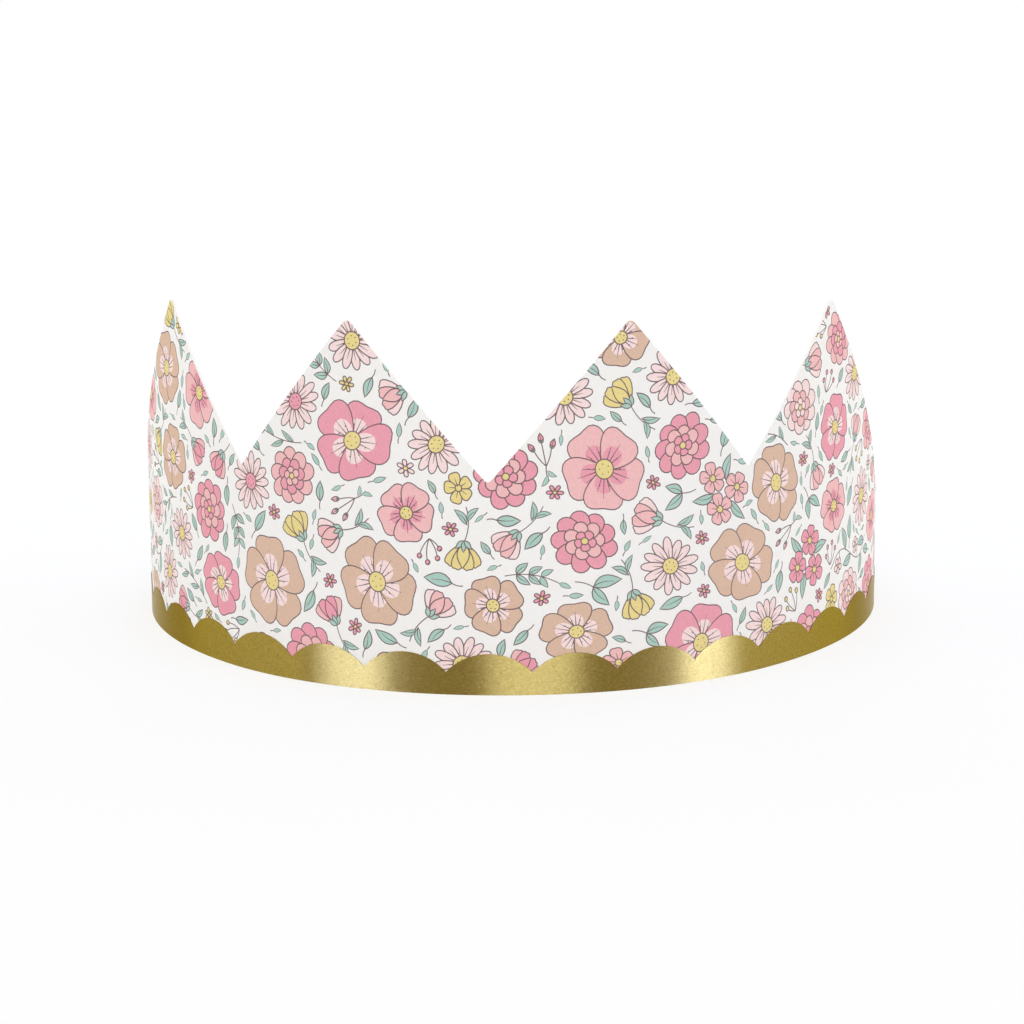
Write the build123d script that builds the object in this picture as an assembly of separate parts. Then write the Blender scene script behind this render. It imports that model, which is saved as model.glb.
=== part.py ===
from build123d import *
import math
import os

# Oval of the closed ring, measured to the middle of the card
ring_width = 176
ring_length = 200
side_angle = 43.6

# Sheet and foil
card_thickness = 0.45
foil_thickness = 0.1
foil_bond = 0.05
foil_set_back = 0.2

# Points along the top edge, heights given to the sharp corners
point_count = 4
point_pitch = 60
point_height = 79
valley_height = 45
tip_radius = 1.2
valley_radius = 0.8

# Strap round the back, a little higher than the foil
strap_margin = 0.4
strap_sweep_radius = 24

# Scalloped border of gold foil
scallop_pitch = 18.2
scallop_cusp_height = 4.9
scallop_top_height = 8.9
scallop_crest_trim = 0.03

# Closure of two half-height slits pushed into each other
tab_length = 24
tab_corner_radius = 3
slit_width = 1.6
slit_clearance = 0.2
closure_step = 0.8
closure_bend_radius = 3.5

# Room that cutting shapes take beyond the sheet
cut_over = 3
cut_reach = 30

half_width = ring_width / 2
half_length = ring_length / 2
half_card = card_thickness / 2
strap_height = scallop_top_height + strap_margin

# Side arcs that run tangent into the end arcs at the side angle
side_cosine = math.cos(math.radians(side_angle))
side_sine = math.sin(math.radians(side_angle))
radius_step = (half_length - half_width) / (side_cosine + side_sine - 1)
side_radius = half_width + radius_step * side_cosine
end_radius = half_length - radius_step * side_sine
front_centre = Vector(0, end_radius - half_length)
back_centre = Vector(0, half_length - end_radius)
right_centre = Vector(half_width - side_radius, 0)

# Step inwards through the slits, as two opposite bends
tab_radius = end_radius - closure_step
inward_reach = end_radius - closure_bend_radius
outward_reach = tab_radius + closure_bend_radius
step_reach = 2 * closure_bend_radius
step_cosine = (inward_reach**2 + outward_reach**2 - step_reach**2) / (2 * inward_reach * outward_reach)
step_angle = math.degrees(math.acos(step_cosine))
step_start = 90 - step_angle / 2
step_end = 90 + step_angle / 2
inward_centre = back_centre + inward_reach * Vector(1, 0).rotate(Axis.Z, step_start)
outward_centre = back_centre + outward_reach * Vector(1, 0).rotate(Axis.Z, step_end)
between = outward_centre - inward_centre
bend_heading = math.degrees(math.atan2(between.Y, between.X))
tab_angle = math.degrees(tab_length / tab_radius)

# Arcs of the right half of the sheet, each as centre, radius, first angle and turn
right_arcs = [
    (front_centre, end_radius, -90, 90 - side_angle),
    (right_centre, side_radius, -side_angle, 2 * side_angle),
    (back_centre, end_radius, side_angle, step_start - side_angle),
]
end_arcs = [
    (inward_centre, closure_bend_radius, step_start, bend_heading - step_start),
    (outward_centre, closure_bend_radius, bend_heading + 180, step_end - bend_heading),
    (back_centre, tab_radius, step_end, tab_angle),
]


def layer(arcs, inner, outer, height):
    """A standing layer of the sheet, between two distances out from the middle of the card."""
    near = []
    far = []
    for centre, radius, first, turn in arcs:
        outward = math.copysign(1, turn)
        near.append(CenterArc(centre, radius + outward * inner, first, turn))
        far.append(CenterArc(centre, radius + outward * outer, first, turn))
    ends = [Line(near[0] @ 0, far[0] @ 0), Line(near[-1] @ 1, far[-1] @ 1)]
    return extrude(make_face(near + far + ends), amount=height, dir=(0, 0, 1))


def sheet_at(distance):
    """Place on the sheet at a distance round from the middle of the front, and the direction outwards."""
    left = abs(distance)
    for centre, radius, first, turn in right_arcs:
        angle = first + math.degrees(left / radius)
        if angle <= first + turn:
            break
        left -= radius * math.radians(turn)
    outwards = Vector(1, 0).rotate(Axis.Z, angle)
    place = centre + radius * outwards
    if distance < 0:
        place = Vector(-place.X, place.Y)
        outwards = Vector(-outwards.X, outwards.Y)
    return place, outwards


def sheet_plane(distance):
    """Upright plane that touches the sheet, with its first direction to the right along the sheet."""
    place, outwards = sheet_at(distance)
    return Plane(origin=place, x_dir=outwards.rotate(Axis.Z, 90), z_dir=outwards)


def on_plane(plane, distance, height):
    """A point of the unrolled sheet, as it falls on a plane that touches the sheet."""
    along = (sheet_at(distance)[0] - plane.origin).dot(plane.x_dir)
    return (along, height)


def cut_through(plane, outline):
    """A cutting shape that goes square through the sheet."""
    return extrude(plane * outline, amount=cut_reach, both=True)


# Corners of the points and the valleys on the unrolled sheet
slope = (point_height - valley_height) / (point_pitch / 2)
tips = [(number - (point_count - 1) / 2) * point_pitch for number in range(point_count)]
valleys = [tip + point_pitch / 2 for tip in tips[:-1]]
top_height = point_height + cut_over
slope_over = (top_height - valley_height) / slope
strap_start = tips[-1] + (point_height - strap_height) / slope
sweep_run = strap_sweep_radius * math.tan(math.atan(slope) / 2)
strap_cut = strap_start + 2 * sweep_run

# Right half of the ring, with a notch cut at each valley
half = layer(right_arcs, -half_card, half_card, point_height + cut_over / 2)
for valley in valleys[len(valleys) // 2 :]:
    plane = sheet_plane(valley)
    corners = [(valley + side * slope_over, top_height) for side in (-1, 1)]
    corners.append((valley, valley_height))
    notch = make_face(Polyline([on_plane(plane, *corner) for corner in corners], close=True))
    notch = fillet(notch.vertices().sort_by(Axis.Y)[0], valley_radius)
    half -= cut_through(plane, notch)

# Long slope from the outer point down to the strap
plane = sheet_plane((tips[-1] + strap_start) / 2)
corners = [
    (tips[-1] - cut_over / slope, top_height),
    (strap_start, strap_height),
    (strap_cut, strap_height),
    (strap_cut, top_height),
]
flank = make_face(Polyline([on_plane(plane, *corner) for corner in corners], close=True))
foot = flank.vertices().group_by(Axis.Y)[0].sort_by(Axis.X)[0]
half -= cut_through(plane, fillet(foot, strap_sweep_radius))

# Everything above the strap, from the foot of the slope to the back
back_start = sheet_at((strap_start + strap_cut) / 2)[0].Y
back_box = Box(
    ring_width + 2 * cut_over,
    half_length - back_start + cut_over,
    top_height - strap_height,
    align=(Align.CENTER, Align.MIN, Align.MIN),
)
half -= Pos(0, back_start, strap_height) * back_box
card = half + mirror(half, about=Plane.YZ)

# Rounded tips
tip_edges = []
for tip in tips:
    place = sheet_at(tip)[0]
    tip_edges.append(card.edges().sort_by_distance(Vector(place.X, place.Y, point_height))[0])
card = fillet(tip_edges, tip_radius)

# Ends of the strap, one slit from above and one from below
slit_height = strap_height / 2 + slit_clearance / 2
slit = Box(slit_width, cut_reach, slit_height, align=(Align.CENTER, Align.CENTER, Align.MIN))
slit = Pos(0, half_length) * slit
end = layer(end_arcs, -half_card, half_card, strap_height)
tab_end = back_centre + tab_radius * Vector(1, 0).rotate(Axis.Z, step_end + tab_angle)
tab_corners = [tab_end, tab_end + Vector(0, 0, strap_height)]
end = fillet([end.edges().sort_by_distance(corner)[0] for corner in tab_corners], tab_corner_radius)
right_end = end - slit
left_end = mirror(end, about=Plane.YZ) - Pos(0, 0, strap_height - slit_height) * slit
card = card + right_end + left_end

# Right half of the foil border on the outer face, cut to scallops
foil_inner = half_card + foil_bond
foil = layer(right_arcs, foil_inner, foil_inner + foil_thickness, scallop_top_height - foil_set_back)
foil = Pos(0, 0, foil_set_back) * foil
half_ring = sum(radius * math.radians(turn) for centre, radius, first, turn in right_arcs)
crest_height = scallop_top_height + scallop_crest_trim
scallop_rise = crest_height - scallop_cusp_height
lift = Vector(0, cut_over)
for number in range(math.ceil(half_ring / scallop_pitch)):
    cusp = (number + 0.5) * scallop_pitch
    plane = sheet_plane(cusp)
    low = on_plane(plane, cusp, scallop_cusp_height)
    sides = []
    for side in (-1, 1):
        crest = on_plane(plane, cusp + side * scallop_pitch / 2, crest_height)
        chord = abs(crest[0] - low[0])
        scallop_radius = (chord**2 + scallop_rise**2) / (2 * scallop_rise)
        sides.append(RadiusArc(low, crest, side * scallop_radius))
    left_crest = sides[0] @ 1
    right_crest = sides[1] @ 1
    lid = Polyline(left_crest, left_crest + lift, right_crest + lift, right_crest)
    foil -= extrude(plane * make_face(sides + [lid]), amount=cut_over, both=True)
foil = foil + mirror(foil, about=Plane.YZ)

os.makedirs("parts", exist_ok=True)
export_step(card, "parts/crown_card.step")
export_step(foil, "parts/foil_border.step")
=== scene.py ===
import math
import random

import bmesh
import bpy
import numpy as np
from mathutils import Euler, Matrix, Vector
from mathutils.geometry import delaunay_2d_cdt


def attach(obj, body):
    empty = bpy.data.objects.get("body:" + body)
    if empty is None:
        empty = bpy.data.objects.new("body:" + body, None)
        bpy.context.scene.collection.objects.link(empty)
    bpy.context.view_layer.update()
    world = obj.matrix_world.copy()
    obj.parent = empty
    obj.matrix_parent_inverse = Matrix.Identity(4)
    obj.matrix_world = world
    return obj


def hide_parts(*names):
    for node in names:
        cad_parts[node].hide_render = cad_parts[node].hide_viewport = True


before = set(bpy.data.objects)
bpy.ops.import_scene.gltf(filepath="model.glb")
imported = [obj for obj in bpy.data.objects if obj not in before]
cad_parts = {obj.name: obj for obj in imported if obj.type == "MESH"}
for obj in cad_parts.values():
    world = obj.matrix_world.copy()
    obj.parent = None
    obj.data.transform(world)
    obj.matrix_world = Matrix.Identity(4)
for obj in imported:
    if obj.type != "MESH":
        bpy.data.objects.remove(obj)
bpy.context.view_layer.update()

MM = 0.001

# Sheet, in millimetres, as the solids have it
RING_WIDTH = 176.0
RING_LENGTH = 200.0
SIDE_ANGLE = math.radians(43.6)
CARD = 0.45
POINT_COUNT = 4
POINT_PITCH = 60.0
POINT_HEIGHT = 79.0
VALLEY_HEIGHT = 45.0
TIP_RADIUS = 1.2
VALLEY_RADIUS = 0.8
STRAP_HEIGHT = 9.3
SWEEP_RADIUS = 24.0
TAB_LENGTH = 24.0
TAB_CORNER = 3.0
SLIT_HALF = 0.88
SLIT_HEIGHT = 4.75
SLIT_SHIFT = 0.07
CLOSURE_STEP = 0.8
BEND_RADIUS = 3.5

# Scalloped foil, in millimetres
SCALLOP_PITCH = 18.2
CUSP_HEIGHT = 4.9
CREST_HEIGHT = 8.9
FOIL_LIFT = 0.01
FOIL = 0.14
FOIL_SET_BACK = 0.03

# Printed colours, as sRGB
GROUND = (241, 238, 231)
LINE = (118, 98, 94)
INKS = {
    "rose_pink": (232, 158, 168),
    "salmon": (237, 186, 182),
    "blush": (243, 218, 212),
    "tan": (216, 183, 157),
    "sage": (171, 202, 187),
    "straw": (230, 211, 139),
}
INSIDE = (246, 244, 240)
CUT_EDGE = (247, 243, 239)
FOIL_DARK = (113, 93, 40)
FOIL_LIGHT = (140, 118, 57)
FOIL_EDGE = (236, 222, 180)

# Small values that keep a comparison or a division safe
NO_DISTANCE = 1e-9
NO_LENGTH = 1e-12
NO_AREA = 1e-15


# Path of the sheet

def plan_arcs():
    """Arcs of the right half of the sheet from the middle of the front to the end of the tab."""
    half_width, half_length = RING_WIDTH / 2, RING_LENGTH / 2
    step = (half_length - half_width) / (math.cos(SIDE_ANGLE) + math.sin(SIDE_ANGLE) - 1)
    side = half_width + step * math.cos(SIDE_ANGLE)
    end = half_length - step * math.sin(SIDE_ANGLE)
    back = half_length - end
    tab = end - CLOSURE_STEP
    near, far = end - BEND_RADIUS, tab + BEND_RADIUS
    turn = math.acos((near ** 2 + far ** 2 - (2 * BEND_RADIUS) ** 2) / (2 * near * far))
    first, last = math.pi / 2 - turn / 2, math.pi / 2 + turn / 2
    inward = (near * math.cos(first), back + near * math.sin(first))
    outward = (far * math.cos(last), back + far * math.sin(last))
    heading = math.atan2(outward[1] - inward[1], outward[0] - inward[0])
    return [
        ((0, -back), end, -math.pi / 2, math.pi / 2 - SIDE_ANGLE),
        ((half_width - side, 0), side, -SIDE_ANGLE, 2 * SIDE_ANGLE),
        ((0, back), end, SIDE_ANGLE, first - SIDE_ANGLE),
        (inward, BEND_RADIUS, first, heading - first),
        (outward, BEND_RADIUS, heading + math.pi, last - heading),
        ((0, back), tab, last, TAB_LENGTH / tab),
    ]


ARCS = plan_arcs()
LENGTHS = [radius * abs(turn) for centre, radius, first, turn in ARCS]
RING_ARCS = 3
RING_END = sum(LENGTHS[:RING_ARCS])
SLIT_PLACE = RING_END + LENGTHS[RING_ARCS] - SLIT_SHIFT
BEND_END = RING_END + LENGTHS[RING_ARCS] + LENGTHS[RING_ARCS + 1]
SHEET_END = sum(LENGTHS)


def along_sheet(s):
    """Places on the middle of the card and outward directions for distances along the sheet."""
    s = np.asarray(s, float)
    left = np.abs(s)
    place, outward = np.zeros((len(s), 2)), np.zeros((len(s), 2))
    start = 0.0
    for number, (centre, radius, first, turn) in enumerate(ARCS):
        stop = start + LENGTHS[number]
        here = left >= start - NO_DISTANCE
        if number < len(ARCS) - 1:
            here &= left < stop
        sense = math.copysign(1.0, turn)
        angle = first + sense * (left[here] - start) / radius
        ray = np.column_stack((np.cos(angle), np.sin(angle)))
        place[here] = np.array(centre) + radius * ray
        outward[here] = sense * ray
        start = stop
    mirror = np.where(s < 0, -1.0, 1.0)
    place[:, 0] *= mirror
    outward[:, 0] *= mirror
    return place, outward


def wrap(s, z, out):
    """Points of the unrolled sheet in the object's frame, in metres, and their outward directions."""
    place, outward = along_sheet(s)
    points = np.column_stack((place + outward * out, z)) * MM
    return points, np.column_stack((outward, np.zeros(len(outward))))


# Outline of the unrolled sheet

ROUND_STEP = 0.8
LEAST_STEPS = 4
SPARE_STEPS = 2


def rounded(corners):
    """Outline points from corners given as place, height and radius."""
    points = []
    for number, (s, z, radius) in enumerate(corners):
        here = np.array((s, z))
        if radius == 0:
            points.append(here)
            continue
        before = np.array(corners[number - 1][:2]) - here
        after = np.array(corners[(number + 1) % len(corners)][:2]) - here
        before, after = before / np.linalg.norm(before), after / np.linalg.norm(after)
        half = math.acos(np.clip(before @ after, -1, 1)) / 2
        run = radius / math.tan(half)
        middle = (before + after) / np.linalg.norm(before + after)
        centre = here + middle * radius / math.sin(half)
        a, b = here + before * run - centre, here + after * run - centre
        turn = math.atan2(a[0] * b[1] - a[1] * b[0], a @ b)
        steps = max(LEAST_STEPS, int(abs(turn) * radius / ROUND_STEP) + SPARE_STEPS)
        for k in range(steps + 1):
            c, d = math.cos(turn * k / steps), math.sin(turn * k / steps)
            points.append(centre + np.array((c * a[0] - d * a[1], d * a[0] + c * a[1])))
    return np.array(points)


def sheet_outline():
    """Outline of the whole sheet, counter-clockwise from the lower corner of the left tab."""
    slope = (POINT_HEIGHT - VALLEY_HEIGHT) / (POINT_PITCH / 2)
    foot = (POINT_COUNT - 1) / 2 * POINT_PITCH + (POINT_HEIGHT - STRAP_HEIGHT) / slope
    low, high = SLIT_PLACE - SLIT_HALF, SLIT_PLACE + SLIT_HALF
    root = STRAP_HEIGHT - SLIT_HEIGHT
    corners = [(-SHEET_END, 0, TAB_CORNER)]
    corners += [(low, 0, 0), (low, SLIT_HEIGHT, 0), (high, SLIT_HEIGHT, 0), (high, 0, 0)]
    corners += [(SHEET_END, 0, TAB_CORNER), (SHEET_END, STRAP_HEIGHT, TAB_CORNER)]
    corners += [(foot, STRAP_HEIGHT, SWEEP_RADIUS)]
    for number in range(POINT_COUNT - 1, -POINT_COUNT, -1):
        place = number * POINT_PITCH / 2
        if number % 2:
            corners.append((place, POINT_HEIGHT, TIP_RADIUS))
        else:
            corners.append((place, VALLEY_HEIGHT, VALLEY_RADIUS))
    corners += [(-foot, STRAP_HEIGHT, SWEEP_RADIUS)]
    corners += [(-low, STRAP_HEIGHT, 0), (-low, root, 0), (-high, root, 0), (-high, STRAP_HEIGHT, 0)]
    corners += [(-SHEET_END, STRAP_HEIGHT, TAB_CORNER)]
    return rounded(corners)


OUTLINE = sheet_outline()


# Drawing of the print, with lengths in millimetres and angles in radians

LINE_WIDTH = 0.26
STEM_WIDTH = 0.24
THIN_LINE_SHARE = 0.12
MIDDLE = (0.0, 0.0)

# Petals and leaves
PETAL_SWELL = 0.8
NOTCH_SPREAD_SHARE = 0.2
PETAL_SWAY = 0.05
PETAL_REACH_SHARES = (0.92, 1.06)
LEAF_TAPER = 0.85
LEAF_FULLNESS = 0.9
LEAF_POINTS = 14
VEINED_LEAF = 3.4
LEAF_VEIN_SHARE = 0.72
LEAF_VEIN_BEND_SHARE = 1.3
LEAF_VEIN_TIP = 0.1
SHORT_LINE = 5

# Veins and inner fields of a petal
VEIN_SPREAD = 0.3
VEIN_REACH_SHARE = 0.62
VEIN_STEP_SHARE = 0.12
VEIN_START_SHARE = 0.9
VEIN_WIDTH = 0.24
VEIN_TIP = 0.08
HEART_LENGTH_SHARE = 0.56
HEART_WIDTH_SHARE = 0.42
HEART_BASE_SHARE = 0.6
HEART_POINTS = 12

# Middle of a flower
CENTRE_POINTS = 10
CENTRE_POINTS_PER_MM = 5
CENTRE_RING_SHARE = 0.5
CENTRE_DOT = 0.17
DOT_POINTS = 5

# Forms of the simple flowers
DAISY = {"count": 13, "width_share": 0.44, "points": 16, "base_share": 0.42, "veins": 1, "dots": 6}
SPECK = {"count": 6, "width_share": 0.74, "points": 12, "base_share": 0.4}
PRIMROSE = {
    "count": 5, "width_share": 1.06, "points": 20, "notch_share": 0.05, "veins": 1, "core_share": 0.24,
    "dots": 1,
}


def turned(points, angle, move=MIDDLE):
    """Points turned about the origin and then moved."""
    c, d = math.cos(angle), math.sin(angle)
    return np.asarray(points, float) @ np.array(((c, d), (-d, c))) + np.asarray(move, float)


def polar(reach, angle):
    """The point at a distance and an angle from the origin."""
    return turned(((reach, 0),), angle)[0]


def heading_of(step):
    """The angle at which a step points."""
    return math.atan2(step[1], step[0])


def left_of(steps):
    """Directions of length one to the left of steps."""
    steps = steps / (np.linalg.norm(steps, axis=1)[:, None] + NO_LENGTH)
    return np.column_stack((-steps[:, 1], steps[:, 0]))


def inset(points, width):
    """The outline drawn in by a line's width."""
    return points + left_of(np.roll(points, -1, 0) - np.roll(points, 1, 0)) * width


def inked(shapes, points, ink, width=LINE_WIDTH):
    """A field of colour with a thin line round it."""
    shapes.append(("line", points))
    shapes.append((ink, inset(points, width)))


def round_shape(radius, count, move=MIDDLE):
    """A round outline."""
    a = np.arange(count) * 2 * math.pi / count
    return turned(np.column_stack((radius * np.cos(a), radius * np.sin(a))), 0.0, move)


def stroke(points, start, end):
    """A drawn line with its own width at each end."""
    points = np.asarray(points, float)
    normal = left_of(np.gradient(points, axis=0))
    half = np.linspace(start, end, len(points))[:, None] / 2
    return np.vstack((points - normal * half, (points + normal * half)[::-1]))


def bow(start, end, bend, count=8):
    """A gently bent line between two points."""
    start, end = np.asarray(start, float), np.asarray(end, float)
    t = np.linspace(0, 1, count)[:, None]
    across = np.array((-(end - start)[1], (end - start)[0]))
    return start + (end - start) * t + across * bend * 4 * t * (1 - t)


def petal(length, width, count, notch_share, base_share):
    """A petal that starts at the middle of its flower and points along the first direction."""
    a = np.arange(count) * 2 * math.pi / count
    x = (1 + np.cos(a)) / 2
    y = np.sin(a) / 2 * (base_share + (1 - base_share) * x ** PETAL_SWELL) * width
    x = x - notch_share * np.exp(-(y / (NOTCH_SPREAD_SHARE * width)) ** 2) * (np.cos(a) > 0)
    return np.column_stack((x * length, y))


def leaf_shape(length, width, count=LEAF_POINTS, bend=0.0):
    """A pointed leaf along the first direction."""
    half = count // 2
    t = np.linspace(0, 1, half + 1)
    y = width / 2 * np.sin(math.pi * t ** LEAF_TAPER) ** LEAF_FULLNESS
    spine = bend * length * 4 * t * (1 - t)
    lower = np.column_stack((t * length, spine - y))
    upper = np.column_stack((t * length, spine + y))[::-1]
    return np.vstack((lower, upper[1:-1]))


def add_leaf(shapes, place, angle, length, width, bend=0.0):
    """A green leaf, with a vein where it is large enough."""
    blade = turned(leaf_shape(length, width, bend=bend), angle, place)
    inked(shapes, blade, "sage", min(LINE_WIDTH, THIN_LINE_SHARE * width))
    if length < VEINED_LEAF:
        return
    vein = bow(MIDDLE, (length * LEAF_VEIN_SHARE, 0), bend * LEAF_VEIN_BEND_SHARE, SHORT_LINE)
    shapes.append(("line", turned(stroke(vein, STEM_WIDTH, LEAF_VEIN_TIP), angle, place)))


def add_dot(shapes, radius, spot):
    """A small dot in the colour of the lines."""
    shapes.append(("line", round_shape(radius, DOT_POINTS, spot)))


def add_stem(shapes, points):
    """A stem of even width."""
    shapes.append(("line", stroke(points, STEM_WIDTH, STEM_WIDTH)))


def add_centre(shapes, place, radius, ink, dots):
    """The middle of a flower, with a ring of dots on it."""
    inked(shapes, round_shape(radius, CENTRE_POINTS + int(CENTRE_POINTS_PER_MM * radius), place), ink)
    for k in range(dots):
        spot = np.array(place) + polar(radius * CENTRE_RING_SHARE, k * 2 * math.pi / dots)
        add_dot(shapes, CENTRE_DOT, spot)


def add_flower(
    rng, shapes, place, radius, ink, centre, *, count, width_share, points,
    notch_share=0.0, base_share=0.3, veins=0, turn=0.0, core_share=0.3, dots=0, heart=None,
):
    """A flower seen from above, of petals that lap over each other round a small middle."""
    for k in range(count):
        angle = turn + k * 2 * math.pi / count + rng.uniform(-PETAL_SWAY, PETAL_SWAY)
        reach = radius * rng.uniform(*PETAL_REACH_SHARES)
        outline = petal(reach, width_share * radius, points, notch_share, base_share)
        inked(shapes, turned(outline, angle, place), ink)
        if heart:
            heart_length = reach * HEART_LENGTH_SHARE
            heart_width = width_share * radius * HEART_WIDTH_SHARE
            field = petal(heart_length, heart_width, HEART_POINTS, 0.0, HEART_BASE_SHARE)
            shapes.append((heart, turned(field, angle, place)))
        for v in range(veins):
            off = v - (veins - 1) / 2
            vein_start = radius * core_share * VEIN_START_SHARE
            vein_end = radius * (VEIN_REACH_SHARE - VEIN_STEP_SHARE * abs(off))
            vein = stroke(((vein_start, 0), (vein_end, 0)), VEIN_WIDTH, VEIN_TIP)
            shapes.append(("line", turned(vein, angle + off * VEIN_SPREAD, place)))
    add_centre(shapes, place, radius * core_share, centre, dots)


def wild_rose(rng, radius, ink, heart, centre):
    """A broad flower of five petals with a ring of stamens."""
    stamen_count = 10
    stamen_share = 0.36
    stamen_step = 0.628
    stamen_dot = 0.2
    shapes = []
    add_flower(
        rng, shapes, MIDDLE, radius, ink, centre, count=5, width_share=1.2, points=26,
        notch_share=0.1, base_share=0.35, veins=3, turn=0.3, core_share=0.22, dots=5, heart=heart,
    )
    for k in range(stamen_count):
        add_dot(shapes, stamen_dot, polar(radius * stamen_share, k * stamen_step))
    return shapes


def rosette(rng, radius, outer, inner, centre):
    """A full flower of three rings of petals."""
    second_share = 0.66
    third_share = 0.36
    shapes = []
    add_flower(
        rng, shapes, MIDDLE, radius, outer, centre,
        count=9, width_share=0.78, points=18, base_share=0.5, veins=1,
    )
    add_flower(
        rng, shapes, MIDDLE, radius * second_share, inner, centre,
        count=7, width_share=0.86, points=16, base_share=0.5, turn=0.4,
    )
    add_flower(
        rng, shapes, MIDDLE, radius * third_share, outer, centre,
        count=5, width_share=1.1, points=14, base_share=0.5, turn=0.1, core_share=0.36,
    )
    return shapes


def flower(rng, radius, ink, centre, form):
    """One flower by itself, in one of the forms."""
    shapes = []
    add_flower(rng, shapes, MIDDLE, radius, ink, centre, **form)
    return shapes


def sprig(rng, length, pairs):
    """A bent stem with pairs of pointed leaves and one at its tip."""
    most_bend = 0.16
    first_share, run_share = 0.22, 0.68
    leaf_share, leaf_loss_share = 0.38, 0.14
    leaf_width_share = 0.48
    least_lean, most_lean = 0.65, 0.85
    follow = 3
    leaf_bend = 0.06
    tip_share, tip_width_share = 0.26, 0.12
    path_count = 50
    spine_count = 12
    shapes = []
    bend = rng.uniform(-most_bend, most_bend)
    spine = bow(MIDDLE, (length, 0), bend, spine_count)
    path = bow(MIDDLE, (length, 0), bend, path_count)
    add_stem(shapes, spine)
    for k in range(pairs):
        t = first_share + run_share * k / pairs
        spot = path[int(t * (path_count - 1))]
        size = length * (leaf_share - leaf_loss_share * t)
        for side in (-1, 1):
            lean = side * rng.uniform(least_lean, most_lean) + bend * (1 - 2 * t) * follow
            add_leaf(shapes, spot, lean, size, size * leaf_width_share, side * leaf_bend)
    add_leaf(shapes, spine[-1], -bend * follow, length * tip_share, length * tip_width_share)
    return shapes


def willow(rng, length):
    """A bent stem with narrow leaves that change sides."""
    least_bend, most_bend = 0.1, 0.2
    path_count, path_skip = 60, 6
    least_leaves, leaf_pitch = 4, 3.2
    first_share, run_share = 0.15, 0.8
    leaf_lean = 0.62
    follow = 3
    leaf_share, leaf_width_share = 0.32, 0.105
    leaf_bend = 0.05
    tip_share, tip_width_share = 0.24, 0.08
    shapes = []
    bend = rng.choice((-1, 1)) * rng.uniform(least_bend, most_bend)
    path = bow(MIDDLE, (length, 0), bend, path_count)
    add_stem(shapes, path[::path_skip])
    count = max(least_leaves, int(length / leaf_pitch))
    for k in range(count):
        t = first_share + run_share * k / count
        lean = (1 if k % 2 else -1) * leaf_lean + bend * (1 - 2 * t) * follow
        spot = path[int(t * (path_count - 1))]
        add_leaf(shapes, spot, lean, length * leaf_share, length * leaf_width_share, leaf_bend)
    add_leaf(shapes, path[-1], -bend * follow, length * tip_share, length * tip_width_share)
    return shapes


def vine(rng, length, ink, centre):
    """A trailing stem with leaves and small flowers on both sides."""
    sway_shares = (0.1, 0.16)
    path_count, path_skip = 40, 2
    leaf_pitch = 3.6
    first_share, run_share = 0.06, 0.86
    flower_every = 3
    stalk, stalk_lean, stalk_bend = 3.4, 1.05, 0.12
    flower_radius = 2.2
    leaf_lean, leaf_lengths, leaf_width, leaf_bend = 0.8, (5.0, 6.4), 2.5, 0.08
    tip_length, tip_width = 4.6, 1.8
    shapes = []
    sway = rng.uniform(*sway_shares) * length * rng.choice((-1, 1))
    t = np.linspace(0, 1, path_count)
    path = np.column_stack((t * length, sway * np.sin(2 * math.pi * t)))
    add_stem(shapes, path[::path_skip])
    count = int(length / leaf_pitch)
    for k in range(count):
        at = int((first_share + run_share * k / count) * (path_count - 1))
        heading = heading_of(path[at + 1] - path[at])
        side = 1 if k % 2 else -1
        if k % flower_every == flower_every - 1:
            tip = path[at] + polar(stalk, heading + side * stalk_lean)
            add_stem(shapes, bow(path[at], tip, side * stalk_bend, SHORT_LINE))
            add_flower(
                rng, shapes, tip, flower_radius, ink, centre,
                count=5, width_share=1.0, points=12, base_share=0.35, turn=heading, core_share=0.28,
            )
        else:
            leaf_length = rng.uniform(*leaf_lengths)
            add_leaf(shapes, path[at], heading + side * leaf_lean, leaf_length, leaf_width, side * leaf_bend)
    add_leaf(shapes, path[-1], heading_of(path[-1] - path[-2]), tip_length, tip_width)
    return shapes


def berries(size, ink):
    """Berries on thin forked stems, each stem as its angle and its share of the size."""
    stem_shares = ((-0.55, 0.86), (-0.08, 1.0), (0.42, 0.9), (0.85, 0.62))
    stem_bend = 0.08
    berry_share, berry_points = 0.13, 11
    dot, dot_share = 0.16, 0.04
    shapes = []
    for angle, share in stem_shares:
        tip = polar(size * share, angle)
        add_stem(shapes, bow(MIDDLE, tip, stem_bend * math.copysign(1, angle)))
        inked(shapes, round_shape(size * berry_share, berry_points, tip), ink)
        add_dot(shapes, dot, tip + size * dot_share)
    return shapes


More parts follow.
